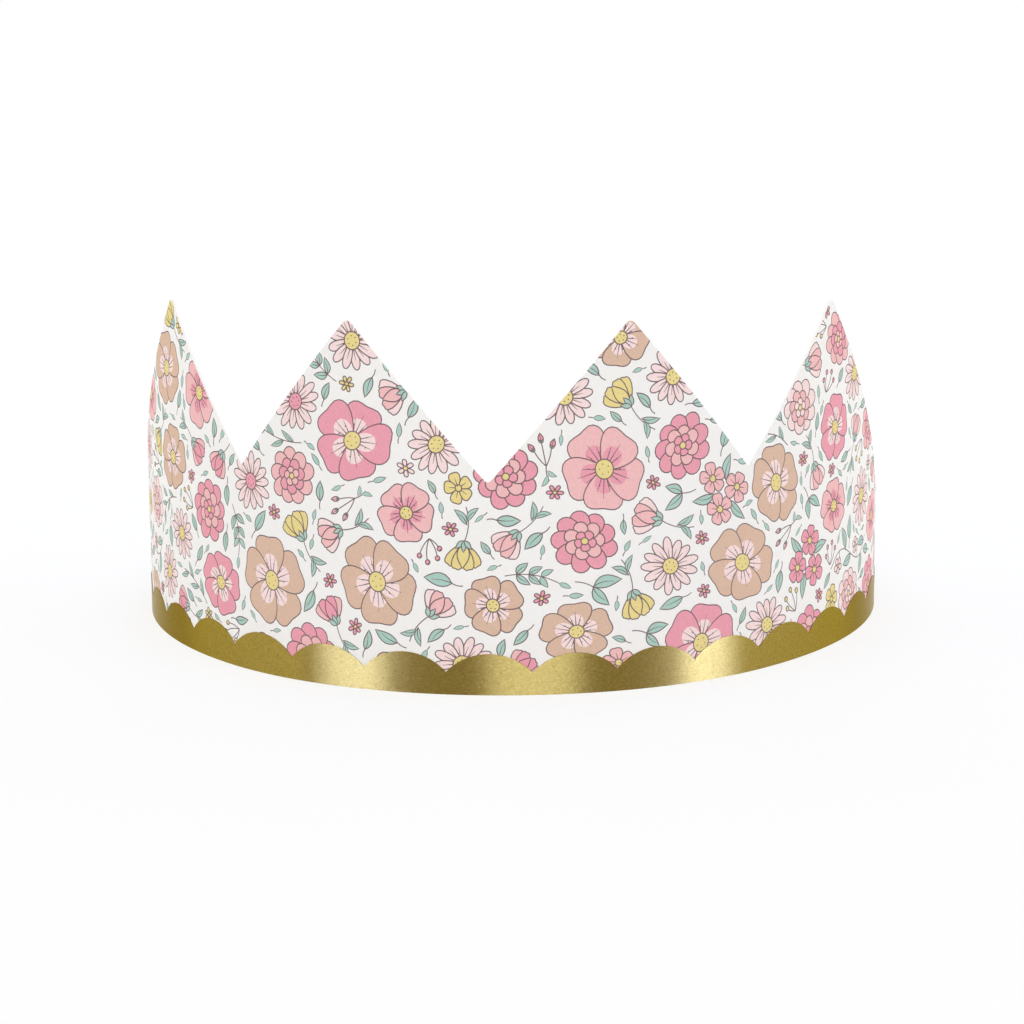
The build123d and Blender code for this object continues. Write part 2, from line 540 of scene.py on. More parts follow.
def bud_spray(size, ink):
    """Closed buds with two sepals on a forked stem, and two leaves below."""
    stem_shares = ((-0.5, 0.78), (0.0, 1.0), (0.5, 0.8))
    fork_share, fork_bend = 0.6, 0.1
    bud_share, bud_width_share = 0.3, 0.58
    crease_shares = ((0.2, 0), (0.85, 0.04))
    crease_width, crease_tip = 0.2, 0.1
    sepal_share, sepal_width_share, sepal_points = 0.5, 0.24, 8
    sepal_lean, sepal_line = 0.5, 0.22
    tail_share, tail_bend = 0.4, 0.08
    leaves = ((0.6, 2.4, 0.36, 0.14, 0.1), (0.3, -2.3, 0.32, 0.13, -0.1))
    shapes = []
    for angle, share in stem_shares:
        tip = polar(size * share * fork_share, angle)
        add_stem(shapes, bow(MIDDLE, tip, fork_bend * angle))
        bud = size * bud_share
        inked(shapes, turned(leaf_shape(bud, bud * bud_width_share), angle, tip), ink)
        crease = [(bud * x_share, bud * y_share) for x_share, y_share in crease_shares]
        shapes.append(("line", turned(stroke(crease, crease_width, crease_tip), angle, tip)))
        sepal = leaf_shape(bud * sepal_share, bud * sepal_width_share, sepal_points)
        for side in (-1, 1):
            inked(shapes, turned(sepal, angle + side * sepal_lean, tip), "sage", sepal_line)
    tail = np.array((-size * tail_share, 0.0))
    add_stem(shapes, bow(tail, MIDDLE, tail_bend))
    for place_share, angle, length_share, width_share, bend in leaves:
        add_leaf(shapes, tail * place_share, angle, size * length_share, size * width_share, bend)
    return shapes


def side_bloom(size, ink, edge):
    """A half-open flower seen from the side, on a stem with two leaves."""
    stem_share, stem_bend = 0.85, 0.1
    petals = ((-0.62, edge), (0.62, edge), (-0.27, ink), (0.27, ink))
    petal_share, petal_width_share, petal_points = 0.72, 0.42, 16
    notch_share, base_share = 0.08, 0.35
    front_share, front_width_share = 0.62, 0.34
    sepal_angles = (-0.75, 0.0, 0.75)
    sepal_share, sepal_width_share, sepal_points = 0.3, 0.15, 10
    sepal_place_share, sepal_line = 0.06, 0.24
    leaves = ((0.5, 0.03, 2.45, 0.46, 0.17, 0.1), (0.42, 0.05, -2.35, 0.5, 0.18, -0.1))
    shapes = []
    add_stem(shapes, bow((-size * stem_share, 0), MIDDLE, stem_bend))
    for angle, fill in petals:
        outline = petal(
            size * petal_share, size * petal_width_share, petal_points, notch_share, base_share
        )
        inked(shapes, turned(outline, angle), fill)
    inked(shapes, turned(leaf_shape(size * front_share, size * front_width_share), 0.0), ink)
    for angle in sepal_angles:
        sepal = leaf_shape(size * sepal_share, size * sepal_width_share, sepal_points)
        inked(shapes, turned(sepal, angle, (-size * sepal_place_share, 0)), "sage", sepal_line)
    for x_share, y_share, angle, length_share, width_share, bend in leaves:
        place = (-size * x_share, size * y_share)
        add_leaf(shapes, place, angle, size * length_share, size * width_share, bend)
    return shapes


def posy(rng, size, ink, centre):
    """Three small flowers close together with leaves between them."""
    count = 3
    leaf_lean, leaf_place_share = 1.05, 0.3
    leaf_share, leaf_width_share, leaf_bend = 0.72, 0.27, 0.08
    flower_place_share, flower_share, core_share = 0.47, 0.44, 0.25
    shapes = []
    for k in range(count):
        angle = k * 2 * math.pi / count + leaf_lean
        place = polar(size * leaf_place_share, angle)
        add_leaf(shapes, place, angle, size * leaf_share, size * leaf_width_share, leaf_bend * (-1) ** k)
    for k in range(count):
        spot = polar(size * flower_place_share, k * 2 * math.pi / count)
        form = dict(PRIMROSE, turn=rng.uniform(0, 1), core_share=core_share)
        add_flower(rng, shapes, spot, size * flower_share, ink, centre, **form)
    return shapes


def single_leaf(rng, length):
    """One leaf on a short stem."""
    stem_share, stem_bend = 0.35, 0.1
    width_shares = (0.42, 0.52)
    most_bend = 0.08
    shapes = []
    add_stem(shapes, bow((-length * stem_share, 0), MIDDLE, stem_bend, SHORT_LINE))
    width = length * rng.uniform(*width_shares)
    add_leaf(shapes, MIDDLE, 0.0, length, width, rng.uniform(-most_bend, most_bend))
    return shapes


def leaf_pair(length):
    """Two leaves on a short stem, each as its angle, length share, width share and bend."""
    stem_share, stem_bend = 0.6, 0.08
    leaves = ((0.55, 1.0, 0.46, 0.08), (-0.6, 0.85, 0.42, -0.08))
    shapes = []
    add_stem(shapes, bow((-length * stem_share, 0), MIDDLE, stem_bend, SHORT_LINE))
    for angle, length_share, width_share, bend in leaves:
        add_leaf(shapes, MIDDLE, angle, length * length_share, length * width_share, bend)
    return shapes


# Layout of the print

CELL = 0.35
FOOT_PITCH = 0.3
FOOT_MARGIN = 2
VARIANTS = 8
TRIES = 9000
SEED = 4140
SQUASH_SHARES = (0.84, 1.0)
ON_SHEET_SHARE = 0.45
GRID_SIDE = 6.0
GRID_BELOW = 5.0
GRID_ABOVE = 7.0
GRID_LOW = (-SHEET_END - GRID_SIDE, -GRID_BELOW)
GRID_SPAN = (2 * SHEET_END + 2 * GRID_SIDE, POINT_HEIGHT + GRID_BELOW + GRID_ABOVE)
GRID_SIZE = (int(GRID_SPAN[0] / CELL) + 1, int(GRID_SPAN[1] / CELL) + 1)


def inside(points, outline):
    """Which points lie inside a closed outline."""
    x, y = points[:, 0], points[:, 1]
    found = np.zeros(len(points), bool)
    for (x0, y0), (x1, y1) in zip(outline, np.roll(outline, -1, 0)):
        if y0 == y1:
            continue
        found ^= ((y0 > y) != (y1 > y)) & (x < (x1 - x0) * (y - y0) / (y1 - y0) + x0)
    return found


def footprint(shapes):
    """Points that cover a drawing and a little room round it."""
    every = np.vstack([points for ink, points in shapes])
    low, high = every.min(0) - FOOT_MARGIN, every.max(0) + FOOT_MARGIN
    xs, ys = np.arange(low[0], high[0], FOOT_PITCH), np.arange(low[1], high[1], FOOT_PITCH)
    grid = np.array(np.meshgrid(xs, ys, indexing="ij"))
    flat = grid.reshape(2, -1).T
    cover = np.zeros(len(flat), bool)
    for ink, points in shapes:
        if ink == "line":
            cover |= inside(flat, points)
    cover = cover.reshape(len(xs), len(ys))
    rows = np.round((every - low) / FOOT_PITCH).astype(int)
    cover[np.clip(rows[:, 0], 0, len(xs) - 1), np.clip(rows[:, 1], 0, len(ys) - 1)] = True
    wide = cover.copy()
    for axis in (0, 1):
        wide |= np.roll(cover, 1, axis) | np.roll(cover, -1, axis)
    return flat[wide.ravel()]


def designs(rng):
    """Kinds of drawing in the order in which they are laid out, each with how many and how it is made."""
    pick, size = rng.choice, rng.uniform
    rose_inks = (("tan", "blush"), ("tan", "blush"), ("salmon", "rose_pink"), ("rose_pink", "blush"))
    rosette_inks = (("salmon", "rose_pink"), ("rose_pink", "salmon"), ("blush", "salmon"))
    bloom_inks = (("straw", "straw"), ("salmon", "blush"), ("rose_pink", "salmon"), ("tan", "blush"))
    small_inks = ("rose_pink", "salmon", "straw", "tan")
    speck_inks = ("rose_pink", "blush", "straw")
    return [
        (12, lambda: wild_rose(rng, size(9.2, 10.8), *pick(rose_inks), "straw")),
        (16, lambda: wild_rose(rng, size(7.2, 8.4), *pick(rose_inks), "straw")),
        (24, lambda: rosette(rng, size(6.2, 7.4), *pick(rosette_inks), "straw")),
        (20, lambda: flower(rng, size(5.8, 7.0), "blush", pick(("straw", "rose_pink")), DAISY)),
        (36, lambda: posy(rng, size(8.6, 10.2), pick(("rose_pink", "rose_pink", "salmon")), "straw")),
        (30, lambda: vine(rng, size(22.0, 28.0), pick(("rose_pink", "salmon", "blush")), "straw")),
        (30, lambda: side_bloom(size(8.6, 10.6), *pick(bloom_inks))),
        (26, lambda: sprig(rng, size(11.0, 16.0), pairs=3)),
        (20, lambda: willow(rng, size(11.0, 16.0))),
        (24, lambda: bud_spray(size(7.6, 9.2), pick(("rose_pink", "salmon")))),
        (80, lambda: flower(rng, size(3.4, 4.6), pick(small_inks), "straw", PRIMROSE)),
        (120, lambda: leaf_pair(size(5.0, 7.2))),
        (40, lambda: berries(size(5.0, 6.6), pick(("tan", "straw", "rose_pink")))),
        (120, lambda: single_leaf(rng, size(4.6, 6.4))),
        (170, lambda: flower(rng, size(1.8, 2.5), pick(speck_inks), "straw", SPECK)),
        (300, lambda: single_leaf(rng, size(3.2, 4.4))),
        (400, lambda: single_leaf(rng, size(2.2, 3.0))),
    ]


def under_foil(points):
    """Whether a shape is wholly hidden by the foil border."""
    return points[:, 1].max() < CUSP_HEIGHT and np.abs(points[:, 0]).max() < RING_END


def scatter(seed):
    """Lays the drawings out over the sheet, the large ones first, each clear of the others."""
    rng = random.Random(seed)
    xs = GRID_LOW[0] + CELL * (np.arange(GRID_SIZE[0]) + 0.5)
    ys = GRID_LOW[1] + CELL * (np.arange(GRID_SIZE[1]) + 0.5)
    cells = np.array(np.meshgrid(xs, ys, indexing="ij")).reshape(2, -1).T
    on_sheet = inside(cells, OUTLINE).reshape(GRID_SIZE)
    taken = np.zeros(GRID_SIZE, bool)
    drawn = []
    for wanted, make in designs(rng):
        variants = []
        for number in range(VARIANTS):
            squash = np.array((1.0, rng.uniform(*SQUASH_SHARES)))
            shapes = [(ink, points * squash) for ink, points in make()]
            variants.append((shapes, footprint(shapes)))
        free = np.argwhere(on_sheet & ~taken)
        laid = 0
        for number in range(TRIES):
            shapes, points = variants[number % VARIANTS]
            spot = free[rng.randrange(len(free))]
            angle = rng.uniform(0, 2 * math.pi)
            if taken[tuple(spot)]:
                continue
            move = np.array((xs[spot[0]], ys[spot[1]]))
            rows = np.floor((turned(points, angle, move) - GRID_LOW) / CELL).astype(int)
            keep = (rows >= 0).all(1) & (rows < GRID_SIZE).all(1)
            rows = rows[keep]
            if taken[rows[:, 0], rows[:, 1]].any():
                continue
            if on_sheet[rows[:, 0], rows[:, 1]].mean() < ON_SHEET_SHARE:
                continue
            taken[rows[:, 0], rows[:, 1]] = True
            drawn += [(ink, turned(shape, angle, move)) for ink, shape in shapes]
            laid += 1
            if laid >= wanted:
                break
    return [(ink, points) for ink, points in drawn if not under_foil(points)]


PRINT = scatter(SEED)


# Mesh of the card

TILE = 24.0
COLUMN = 6.0
BEND_CUTS = 13
TAB_COLUMNS_START = 300.0
LINE_ROOM = 0.01
LINE_OVER = 20.0
DIGITS = 4
SAME_LINE = math.radians(0.2)
SAME_POINT = 0.001
CUT_INSIDE = 1
CUT_NEAR = 1e-5


def cut_lines():
    """Places along the sheet where its faces are divided, so that they follow its bends."""
    ring = np.arange(0.0, RING_END, COLUMN)
    bends = np.linspace(RING_END, BEND_END, BEND_CUTS)
    tab = np.arange(TAB_COLUMNS_START, SHEET_END, COLUMN)
    right = np.concatenate((ring, bends, tab))
    return np.unique(np.round(np.concatenate((-right, right)), DIGITS))


def clipped(outline, low, high):
    """The part of an outline between two places along the sheet."""
    for limit, sense in ((low, 1), (high, -1)):
        kept = []
        for a, b in zip(outline, np.roll(outline, -1, 0)):
            da, db = sense * (a[0] - limit), sense * (b[0] - limit)
            if da >= 0:
                kept.append(a)
            if (da > 0 > db) or (da < 0 < db):
                kept.append(np.array((limit, a[1] + (b[1] - a[1]) * da / (da - db))))
        outline = np.array(kept)
    return outline


def divided(outline, shapes):
    """Triangles of the unrolled sheet with the name of the ink on each, cut along every shape's edge."""
    lines = cut_lines()
    borders = np.arange(-math.ceil(SHEET_END / TILE), math.ceil(SHEET_END / TILE) + 1) * TILE
    spans = [(points[:, 0].min(), points[:, 0].max()) for ink, points in shapes]
    index, corners, triangles, inks = {}, [], [], []
    for low, high in zip(borders[:-1], borders[1:]):
        patch = clipped(outline, low, high)
        if len(patch) < 3:
            continue
        fields = [("ground", patch)]
        for shape, (first, last) in zip(shapes, spans):
            if last > low and first < high:
                fields.append(shape)
        verts, edges, faces = [], [], []
        for ink, points in fields:
            faces.append(list(range(len(verts), len(verts) + len(points))))
            verts.extend(Vector((float(x), float(y))) for x, y in points)
        for place in lines[(lines > low + LINE_ROOM) & (lines < high - LINE_ROOM)]:
            edges.append((len(verts), len(verts) + 1))
            verts.append(Vector((float(place), -LINE_OVER)))
            verts.append(Vector((float(place), POINT_HEIGHT + LINE_OVER)))
        out, _, tris, _, _, sources = delaunay_2d_cdt(verts, edges, faces, CUT_INSIDE, CUT_NEAR, True)
        number = []
        for point in out:
            key = (round(point[0], DIGITS), round(point[1], DIGITS))
            if key not in index:
                index[key] = len(corners)
                corners.append(key)
            number.append(index[key])
        for tri, source in zip(tris, sources):
            if 0 not in source:
                continue
            face = [number[k] for k in tri]
            if len(set(face)) == 3:
                triangles.append(face)
                inks.append(fields[max(source)][0])
    used, triangles = np.unique(np.array(triangles), return_inverse=True)
    return np.array(corners)[used], triangles.reshape(-1, 3), inks


def drop_folded(sheet):
    """Deletes each two triangles that lie folded on each other, with the same three corners."""
    sheet.verts.index_update()
    alike = {}
    for face in sheet.faces:
        alike.setdefault(frozenset(v.index for v in face.verts), []).append(face)
    folded = [face for faces in alike.values() if len(faces) == 2 for face in faces]
    bmesh.ops.delete(sheet, geom=folded, context="FACES")


def simplified(flat, triangles, inks):
    """The same sheet without the edges at which neither the ink nor the bend changes."""
    names = sorted(set(inks))
    sheet = bmesh.new()
    verts = [sheet.verts.new((s, z, 0.0)) for s, z in flat]
    for triangle, ink in zip(triangles, inks):
        face = sheet.faces.new([verts[k] for k in triangle])
        face.material_index = names.index(ink)
    lines = set(cut_lines())
    for edge in sheet.edges:
        a, b = edge.verts
        edge.seam = a.co.x == b.co.x and round(a.co.x, DIGITS) in lines
    within = [edge for edge in sheet.edges if not any(v.is_boundary for v in edge.verts)]
    bmesh.ops.dissolve_degenerate(sheet, dist=SAME_POINT, edges=within)
    drop_folded(sheet)
    sheet.normal_update()
    bmesh.ops.dissolve_limit(
        sheet, angle_limit=SAME_LINE, verts=sheet.verts, edges=sheet.edges, delimit={"MATERIAL", "SEAM"}
    )
    bmesh.ops.triangulate(sheet, faces=sheet.faces)
    drop_folded(sheet)
    sheet.verts.index_update()
    flat = np.array([(round(v.co.x, DIGITS), round(v.co.y, DIGITS)) for v in sheet.verts])
    triangles = np.array([[v.index for v in face.verts] for face in sheet.faces])
    inks = [names[face.material_index] for face in sheet.faces]
    sheet.free()
    return flat, triangles, inks


def rim(triangles):
    """Corners round the sheet in order, from the edges that only one triangle has."""
    following = {}
    for triangle in triangles.tolist():
        for a, b in zip(triangle, triangle[1:] + triangle[:1]):
            following[a, b] = b
    ring = {a: b for a, b in following if (b, a) not in following}
    loop = [min(ring)]
    while ring[loop[-1]] != loop[0]:
        loop.append(ring[loop[-1]])
    return loop


def placed(name, data):
    """An object with the data, put in the scene."""
    item = bpy.data.objects.new(name, data)
    bpy.context.scene.collection.objects.link(item)
    return item


def build_mesh(name, points, faces, normals, kinds, materials, crisp):
    """A mesh with exact directions for its shading, one list of them for each face, and some crisp faces."""
    mesh = bpy.data.meshes.new(name)
    mesh.from_pydata(points.tolist(), [], faces)
    sharp = set()
    for face in crisp:
        sharp.update(frozenset(pair) for pair in zip(face, face[1:] + face[:1]))
    mesh.edges.foreach_set("use_edge_sharp", [frozenset(edge.vertices) in sharp for edge in mesh.edges])
    for material in materials:
        mesh.materials.append(material)
    mesh.polygons.foreach_set("material_index", kinds)
    mesh.polygons.foreach_set("use_smooth", np.ones(len(faces), bool))
    mesh.normals_split_custom_set([n for face in normals for n in face])
    return placed(name, mesh)


def sheet_mesh(materials):
    """The printed card as one closed sheet: printed outer face, plain inner face and cut edge."""
    flat, front, inks = simplified(*divided(OUTLINE, PRINT))
    loop = rim(front)
    back_flat, back, _ = divided(flat[loop], [])
    order = list(materials)
    outer, outer_dir = wrap(flat[:, 0], flat[:, 1], CARD / 2)
    inner, inner_dir = wrap(back_flat[:, 0], back_flat[:, 1], -CARD / 2)
    points = np.vstack((outer, inner))
    start = len(outer)
    place = {tuple(spot): start + number for number, spot in enumerate(back_flat.tolist())}
    faces = front.tolist()
    normals = [[outer_dir[k] for k in triangle] for triangle in front]
    kinds = [order.index(ink) for ink in inks]
    for triangle in back[:, ::-1]:
        faces.append([int(start + k) for k in triangle])
        normals.append([-inner_dir[k] for k in triangle])
        kinds.append(order.index("inside"))
    for a, b in zip(loop, loop[1:] + loop[:1]):
        face = [b, a, place[tuple(flat[a].tolist())], place[tuple(flat[b].tolist())]]
        faces.append(face)
        across = np.cross(points[b] - points[a], outer_dir[a])
        across /= np.linalg.norm(across)
        normals.append([across] * len(face))
        kinds.append(order.index("edge"))
    crisp = faces[len(front) + len(back):]
    return build_mesh("printed_card", points, faces, normals, kinds, list(materials.values()), crisp)


# Mesh of the foil

SCALLOP_STEPS = 36
FOIL_LEVELS = 4
INNER, OUTER = 0, 1


def scallop_height(s):
    """Height of the border's scalloped edge along the sheet."""
    rise, half = CREST_HEIGHT - CUSP_HEIGHT, SCALLOP_PITCH / 2
    radius = (half ** 2 + rise ** 2) / (2 * rise)
    across = np.abs((np.asarray(s) + half) % SCALLOP_PITCH - half)
    return CREST_HEIGHT - radius + np.sqrt(radius ** 2 - across ** 2)


def foil_mesh(material):
    """The foil border as one thin closed strip."""
    step = SCALLOP_PITCH / SCALLOP_STEPS
    count = int(RING_END / step)
    s = np.concatenate(((-RING_END,), np.arange(-count, count + 1) * step, (RING_END,)))
    top = scallop_height(s)
    size = len(s)
    points, directions = [], []
    for out in (CARD / 2 + FOIL_LIFT, CARD / 2 + FOIL):
        for level in range(FOIL_LEVELS + 1):
            z = FOIL_SET_BACK + (top - FOIL_SET_BACK) * level / FOIL_LEVELS
            level_points, level_directions = wrap(s, z, out)
            points.append(level_points)
            directions.append(level_directions)
    points, directions = np.vstack(points), np.vstack(directions)
    faces, normals, crisp = [], [], []

    def corner(layer, level, column):
        return (layer * (FOIL_LEVELS + 1) + level) * size + column

    def add_skin(*corners):
        face = [corner(*place) for place in corners]
        sense = 1 if corners[0][0] == OUTER else -1
        faces.append(face)
        normals.append([sense * directions[k] for k in face])

    def add_side(*corners):
        face = [corner(*place) for place in corners]
        a, b, c = (points[k] for k in face[:3])
        normal = np.cross(b - a, c - a)
        faces.append(face)
        crisp.append(face)
        normals.append([normal / (np.linalg.norm(normal) + NO_AREA)] * len(face))

    for here in range(size - 1):
        there = here + 1
        for low in range(FOIL_LEVELS):
            high = low + 1
            add_skin((OUTER, low, here), (OUTER, low, there), (OUTER, high, there), (OUTER, high, here))
            add_skin((INNER, low, here), (INNER, high, here), (INNER, high, there), (INNER, low, there))
        high = FOIL_LEVELS
        add_side((OUTER, high, here), (OUTER, high, there), (INNER, high, there), (INNER, high, here))
        add_side((OUTER, 0, there), (OUTER, 0, here), (INNER, 0, here), (INNER, 0, there))
    last = size - 1
    for low in range(FOIL_LEVELS):
        high = low + 1
        add_side((OUTER, low, 0), (OUTER, high, 0), (INNER, high, 0), (INNER, low, 0))
        add_side((OUTER, high, last), (OUTER, low, last), (INNER, low, last), (INNER, high, last))
    return build_mesh("gold_foil_border", points, faces, normals, [0] * len(faces), [material], crisp)


# Materials, with scales of noise in waves to the metre and depths in metres

NOISE_LOW = 0.3
NOISE_HIGH = 0.7
MIX_FACTOR, MIX_FIRST, MIX_SECOND, MIX_RESULT = 0, 6, 7, 2
PAPER_ROUGH = 0.74
PLAIN_ROUGH = 0.8
PAPER_ROUGH_SPREAD = 0.06
PAPER_SPECULAR = 0.05
PAPER_SPECKLE_SCALE = 2600
PAPER_ROUGH_SCALE = 900
PAPER_TOOTH_SCALE = 1700
PAPER_TOOTH_DEPTH = 0.00008
FOIL_GRAIN_SCALE = 1500
FOIL_GRAIN_STRETCH = (1, 1, 1.6)
FOIL_GRAIN_STRENGTH = 0.5
FOIL_GRAIN_DEPTH = 0.00004
FOIL_TONE_SCALE = 1700
FOIL_TONE_STRETCH = (1, 1, 1.8)
FOIL_LEAST_ROUGH = 0.26
FOIL_MOST_ROUGH = 0.33
FOIL_GRAIN_TURN = 0.25


def linear(colour):
    """A written sRGB colour as the shader takes it."""
    values = [v / 255 for v in colour]
    return tuple(v / 12.92 if v <= 0.04045 else ((v + 0.055) / 1.055) ** 2.4 for v in values) + (1.0,)


class Nodes:
    """Short calls that add and join a material's nodes."""

    def __init__(self, name):
        self.material = bpy.data.materials.new(name)
        self.material.use_nodes = True
        self.tree = self.material.node_tree
        self.shader = self.tree.nodes["Principled BSDF"]
        self.place = self.add("ShaderNodeTexCoord").outputs["Object"]

    def add(self, kind, **values):
        node = self.tree.nodes.new(kind)
        for key, value in values.items():
            setattr(node, key, value)
        return node

    def join(self, a, b):
        self.tree.links.new(a, b)

    def give(self, key, value):
        self.shader.inputs[key].default_value = value

    def feed(self, key, source):
        self.join(source, self.shader.inputs[key])

    def noise(self, scale, detail=2.0, roughness=0.5, stretch=(1, 1, 1)):
        mapping = self.add("ShaderNodeMapping")
        mapping.inputs["Scale"].default_value = stretch
        self.join(self.place, mapping.inputs["Vector"])
        node = self.add("ShaderNodeTexNoise")
        node.inputs["Scale"].default_value = scale
        node.inputs["Detail"].default_value = detail
        node.inputs["Roughness"].default_value = roughness
        self.join(mapping.outputs["Vector"], node.inputs["Vector"])
        return node.outputs["Fac"]

    def ramp(self, source, first, second, low=NOISE_LOW, high=NOISE_HIGH):
        node = self.add("ShaderNodeMapRange")
        for key, value in zip(("From Min", "From Max", "To Min", "To Max"), (low, high, first, second)):
            node.inputs[key].default_value = value
        self.join(source, node.inputs["Value"])
        return node.outputs["Result"]

    def mix(self, factor, first, second):
        node = self.add("ShaderNodeMix", data_type="RGBA")
        node.inputs[MIX_FIRST].default_value = first
        node.inputs[MIX_SECOND].default_value = second
        self.join(factor, node.inputs[MIX_FACTOR])
        return node.outputs[MIX_RESULT]

    def bump(self, height, strength, distance):
        node = self.add("ShaderNodeBump")
        node.inputs["Strength"].default_value = strength
        node.inputs["Distance"].default_value = distance
        self.join(height, node.inputs["Height"])
        self.feed("Normal", node.outputs["Normal"])


def paper(name, colour, grain, speckle, rough=PAPER_ROUGH):
    """Matt printed card: ink that sinks in unevenly over a fine paper tooth."""
    n = Nodes(name)
    if speckle:
        dark = tuple(v * (1 - speckle) for v in linear(colour)[:3]) + (1.0,)
        light = tuple(min(1.0, v * (1 + speckle)) for v in linear(colour)[:3]) + (1.0,)
        tone = n.ramp(n.noise(PAPER_SPECKLE_SCALE, detail=3.0, roughness=0.6), 0, 1)
        n.feed("Base Color", n.mix(tone, dark, light))
    else:
        n.give("Base Color", linear(colour))
    least, most = rough - PAPER_ROUGH_SPREAD, rough + PAPER_ROUGH_SPREAD
    n.feed("Roughness", n.ramp(n.noise(PAPER_ROUGH_SCALE), least, most))
    n.give("Specular IOR Level", PAPER_SPECULAR)
    n.bump(n.noise(PAPER_TOOTH_SCALE, detail=4.0, roughness=0.65), grain, PAPER_TOOTH_DEPTH)
    return n.material


def gold(name):
    """Satin gold foil: a fine grain along the sheet spreads the light upright."""
    n = Nodes(name)
    grain = n.noise(FOIL_GRAIN_SCALE, detail=4.0, roughness=0.7, stretch=FOIL_GRAIN_STRETCH)
    tone = n.ramp(n.noise(FOIL_TONE_SCALE, detail=3.0, roughness=0.7, stretch=FOIL_TONE_STRETCH), 0, 1)
    n.feed("Base Color", n.mix(tone, linear(FOIL_DARK), linear(FOIL_LIGHT)))
    n.give("Metallic", 1.0)
    n.feed("Roughness", n.ramp(grain, FOIL_LEAST_ROUGH, FOIL_MOST_ROUGH))
    n.give("Anisotropic", 1.0)
    n.give("Anisotropic Rotation", FOIL_GRAIN_TURN)
    around = n.add("ShaderNodeTangent", direction_type="RADIAL", axis="Z")
    n.feed("Tangent", around.outputs["Tangent"])
    n.give("Specular Tint", linear(FOIL_EDGE))
    n.bump(grain, FOIL_GRAIN_STRENGTH, FOIL_GRAIN_DEPTH)
    return n.material


card_materials = {
    "ground": paper("print_ground", GROUND, grain=0.25, speckle=0.015),
    "line": paper("print_line", LINE, grain=0.2, speckle=0.0),
}
for ink_name, ink_colour in INKS.items():
    card_materials[ink_name] = paper("print_" + ink_name, ink_colour, grain=0.25, speckle=0.07)
card_materials["inside"] = paper("card_inside", INSIDE, grain=0.4, speckle=0.015, rough=PLAIN_ROUGH)
card_materials["edge"] = paper("card_edge", CUT_EDGE, grain=0.5, speckle=0.02, rough=PLAIN_ROUGH)

card = sheet_mesh(card_materials)
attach(card, "root")
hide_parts("crown_card")

foil = foil_mesh(gold("gold_foil"))
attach(foil, "root")
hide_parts("foil_border")


# Floor, light and camera, in metres

FLOOR_HALF = 4.0
FLOOR_TONES = ((0.9, 0.9, 0.9, 1), (0.92, 0.92, 0.92, 1))
FLOOR_NOISE_SCALE = 3
FLOOR_ROUGH = 0.9
FLOOR_SPECULAR = 0.1
FLOOR_WHITE_SHARE = 0.75
FADE_START = 0.12
FADE_END = 0.45

# Lamps, with azimuth in degrees: 0 is in front of the object and positive is to the right
LAMP_DISTANCE = 1.0
LAMP_POWER = 4
SKY_LEVEL = 0.635
TOP_BOX_HEIGHT = 1.3
TOP_BOX_SIZE = 1.2
TOP_BOX_RADIANCE = 0.52
SOFT_BOX_HEIGHT = 0.9
SOFT_BOX_WIDTH = 0.6
STRIP_HEIGHT = 1.4
WHITE = (1.0, 1.0, 1.0)
STRIP_COLOUR = (0.305, 0.4, 1.0)
FRONT_COLOUR = (0.41, 0.515, 1.0)
CARD_COLOUR = (0.87, 1.0, 0.9)

# Soft boxes as name, azimuth and radiance
SOFT_BOXES = (
    ("left_box", -52.0, 1.15),
    ("right_box", 52.0, 1.15),
    ("back_left_box", -135.0, 1.05),
    ("back_right_box", 135.0, 1.05),
)

# Bounce cards that show in the foil, as name, azimuth, width, radiance and colour
SHINES = (
    ("left_strip", -46.7, 0.37, 32.5, STRIP_COLOUR),
    ("right_strip", 67.4, 0.31, 42.0, STRIP_COLOUR),
    ("front_strip", 10.4, 0.48, 15.2, FRONT_COLOUR),
    ("back_strip", 180.0, 0.48, 15.2, FRONT_COLOUR),
    ("left_card", -90.0, 1.0, 2.4, CARD_COLOUR),
    ("right_card", 104.0, 1.0, 2.4, CARD_COLOUR),
)

# Camera, with its focus in pixels of the frame
FRAME_WIDTH = 1024
SENSOR_WIDTH = 36.0
CLIP_START = 0.01
CAMERA_FOCUS = 2609.6
CAMERA_PLACE = (0.03298, -0.63057, 0.14016)
CAMERA_PITCH = math.radians(10.76)
CAMERA_YAW = math.radians(3.02)
CAMERA_ROLL = math.radians(-0.32)


def seen_directly(tree):
    """1 for what the camera, a reflection or a view through clear stuff sees, and 0 for light on surfaces."""
    path = tree.nodes.new("ShaderNodeLightPath")
    result = path.outputs["Is Camera Ray"]
    for name in ("Is Glossy Ray", "Is Transmission Ray"):
        node = tree.nodes.new("ShaderNodeMath")
        node.operation = "MAXIMUM"
        tree.links.new(result, node.inputs[0])
        tree.links.new(path.outputs[name], node.inputs[1])
        result = node.outputs[0]
    return result


